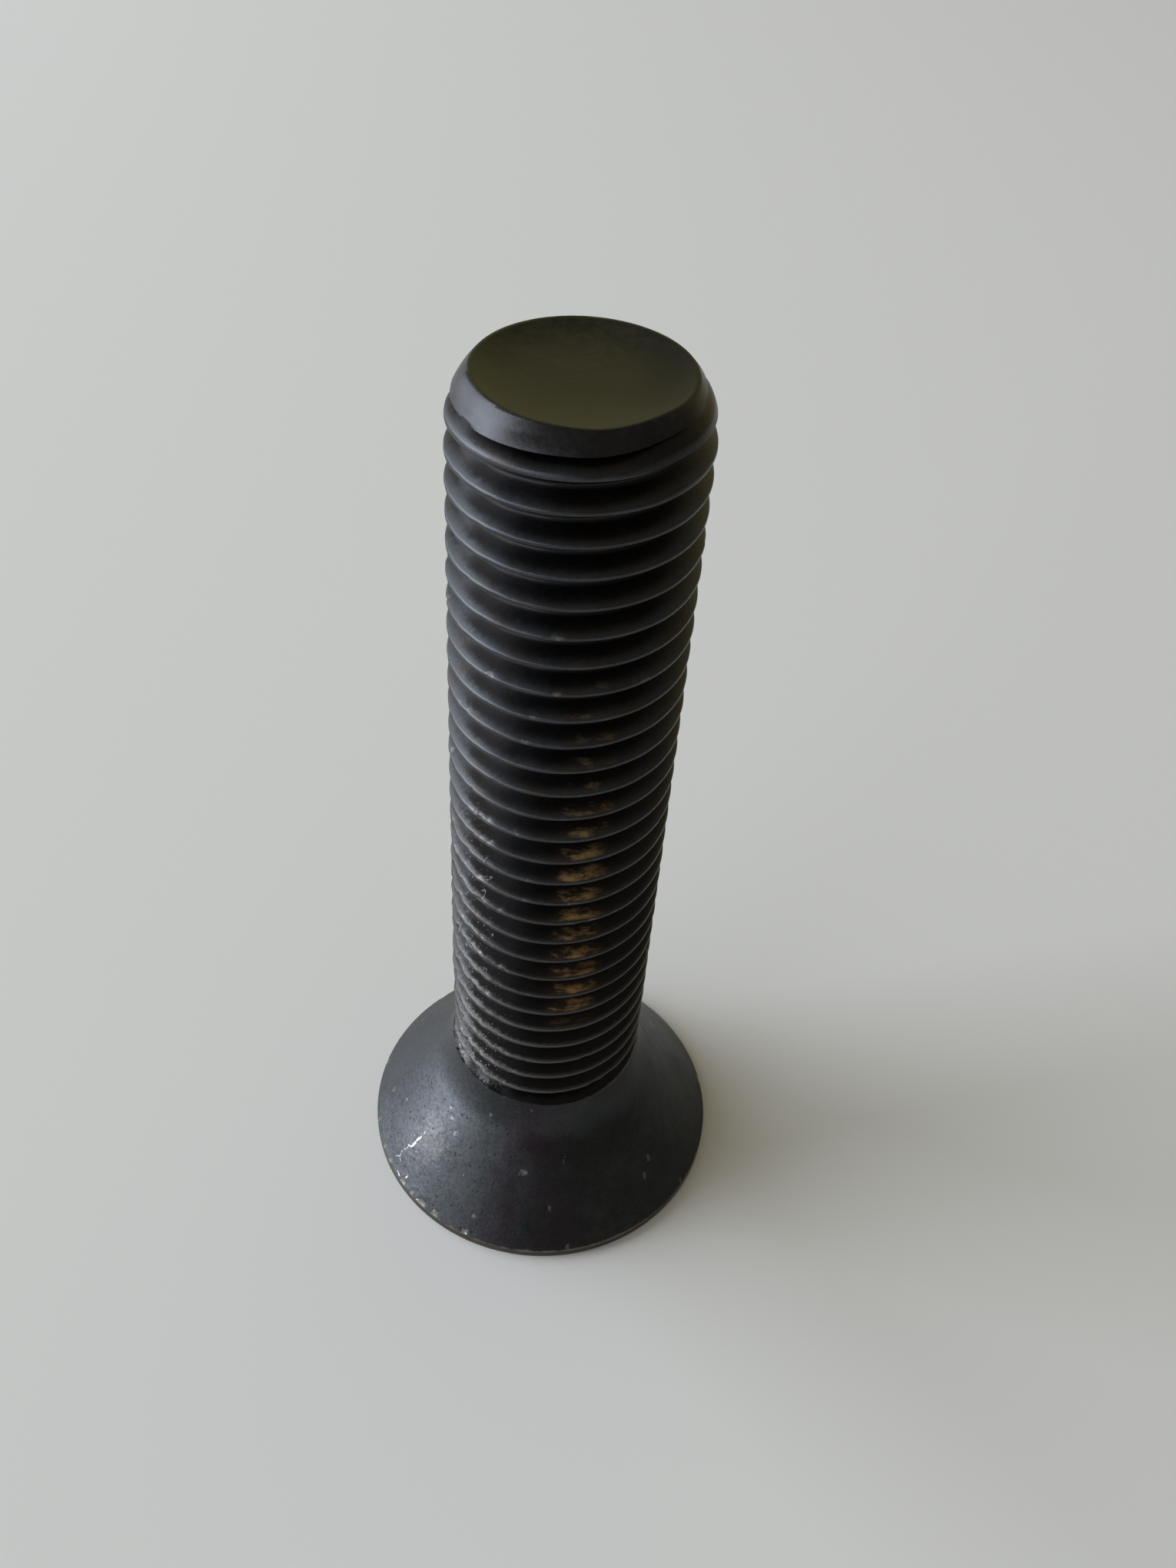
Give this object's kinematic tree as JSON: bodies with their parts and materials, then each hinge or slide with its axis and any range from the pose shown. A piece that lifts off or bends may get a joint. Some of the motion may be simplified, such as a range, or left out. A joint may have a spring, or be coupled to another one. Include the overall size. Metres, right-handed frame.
{
  "type": "blade bolt",
  "caption": "Countersunk blade bolt, threaded right-handed along its whole shank, with a deep fillet under the head and a hex socket in the head face.",
  "frame": {"origin": "centre of the flat head face, which the bolt stands on", "axes": "+Z along the axis of the bolt, from the head to the threaded end; +X through a corner of the hex socket"},
  "size_m": [0.0358, 0.0358, 0.088],
  "materials": {
    "black_oxide_steel": "black oxide, oiled, semi-gloss, worn at the crests and the head's rim"
  },
  "bodies": {
    "root": {"bolt": "black_oxide_steel"}
  },
  "joints": []
}
